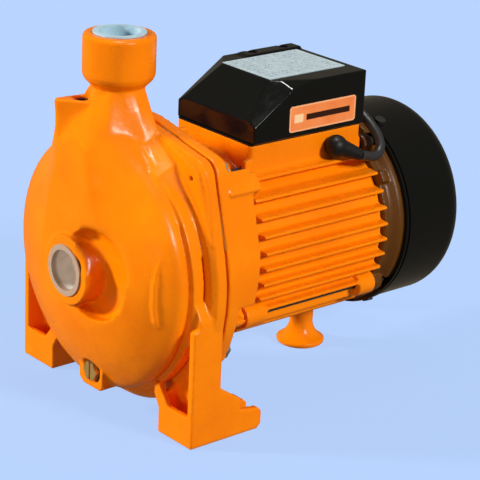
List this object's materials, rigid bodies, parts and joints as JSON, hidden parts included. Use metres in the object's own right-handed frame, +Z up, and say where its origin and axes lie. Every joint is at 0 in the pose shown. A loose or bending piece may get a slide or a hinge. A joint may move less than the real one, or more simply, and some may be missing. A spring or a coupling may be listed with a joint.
{
  "type": "centrifugal water pump",
  "caption": "Centrifugal water pump: cast volute casing with front suction and top discharge, slotted feet, finned electric motor, terminal box, fan cover and cord.",
  "frame": {"origin": "centre between the two foot slots, on the base plane", "axes": "+Y from the suction side to the motor, +Z up through the discharge port, +X right seen from the suction side"},
  "size_m": [0.252, 0.2816, 0.2401],
  "materials": {
    "orange_paint": "gloss",
    "shield_paint": "satin",
    "black_gloss_plastic": "gloss",
    "rubber": "matte",
    "cord_sheath": "satin",
    "plug_body": "matte",
    "white_plastic": "satin",
    "brass": "satin",
    "zinc_steel": "satin",
    "black_steel": "satin",
    "shaft_steel": "satin",
    "silicon_steel": "matte",
    "copper": "gloss",
    "ceramic": "matte",
    "carbon": "matte",
    "fibre": "matte",
    "fan_plastic": "matte",
    "terminal_plastic": "matte",
    "capacitor_can": "satin",
    "coil_tie": "matte",
    "nameplate": "satin",
    "side_label": "satin"
  },
  "bodies": {
    "root": {"cable_coil": "cord_sheath", "capacitor": "capacitor_can", "capacitor_clip": "zinc_steel", "casing_bolts": "zinc_steel", "casing_gasket": "fibre", "coil_tie": "coil_tie", "earth_screw": "zinc_steel", "fan_cover": "black_gloss_plastic", "fan_cover_screws": "black_steel", "front_bearing_outer": "shaft_steel", "mains_plug": "plug_body", "motor_bracket": "orange_paint", "motor_frame": "orange_paint", "nameplate": "nameplate", "plug_pins": "brass", "power_cable": "cord_sheath", "pump_casing": "orange_paint", "rear_bearing_outer": "shaft_steel", "rear_end_shield": "shield_paint", "seal_seat": "ceramic", "side_label": "side_label", "stator_core": "silicon_steel", "stator_windings": "copper", "strain_relief": "rubber", "support_foot": "orange_paint", "support_foot_screw": "zinc_steel", "terminal_block": "terminal_plastic", "terminal_cover": "black_gloss_plastic", "terminal_cover_screws": "black_steel", "terminal_gasket": "rubber", "tie_bolts": "black_steel", "wave_washer": "zinc_steel"},
    "rotor": {"motor_shaft": "shaft_steel", "rotor_core": "silicon_steel", "impeller": "brass", "impeller_key": "shaft_steel", "impeller_nut": "brass", "seal_bellows": "rubber", "seal_face": "carbon", "slinger": "rubber", "front_bearing_inner": "shaft_steel", "rear_bearing_inner": "shaft_steel", "cooling_fan": "fan_plastic"},
    "front_balls": {"front_ball_cage": "shaft_steel"},
    "rear_balls": {"rear_ball_cage": "shaft_steel"},
    "suction_plug": {"suction_plug": "white_plastic"},
    "discharge_plug": {"discharge_plug": "white_plastic"},
    "drain_plug": {"drain_plug": "brass", "drain_washer": "fibre"},
    "priming_plug": {"priming_plug": "black_steel"}
  },
  "joints": [
    {"name": "shaft_spin", "type": "hinge", "parent": "root", "child": "rotor", "pos_m": [0, 0.05, 0.095], "axis": [0, 1, 0], "continuous": true},
    {"name": "front_balls_spin", "type": "hinge", "parent": "root", "child": "front_balls", "pos_m": [0, 0.0115, 0.095], "axis": [0, 1, 0], "continuous": true},
    {"name": "rear_balls_spin", "type": "hinge", "parent": "root", "child": "rear_balls", "pos_m": [0, 0.142, 0.095], "axis": [0, 1, 0], "continuous": true},
    {"name": "suction_plug_slide", "type": "slide", "parent": "root", "child": "suction_plug", "axis": [0, -1, 0], "range_m": [0, 0.02]},
    {"name": "discharge_plug_slide", "type": "slide", "parent": "root", "child": "discharge_plug", "axis": [0, 0, 1], "range_m": [0, 0.02]},
    {"name": "drain_plug_slide", "type": "slide", "parent": "root", "child": "drain_plug", "axis": [0, -1, 0], "range_m": [0, 0.012]},
    {"name": "priming_plug_slide", "type": "slide", "parent": "root", "child": "priming_plug", "axis": [0, 0, 1], "range_m": [0, 0.008]}
  ],
  "couplings": [
    {"joint": "front_balls_spin", "follows": "shaft_spin", "ratio": 0.384},
    {"joint": "rear_balls_spin", "follows": "shaft_spin", "ratio": 0.384}
  ]
}
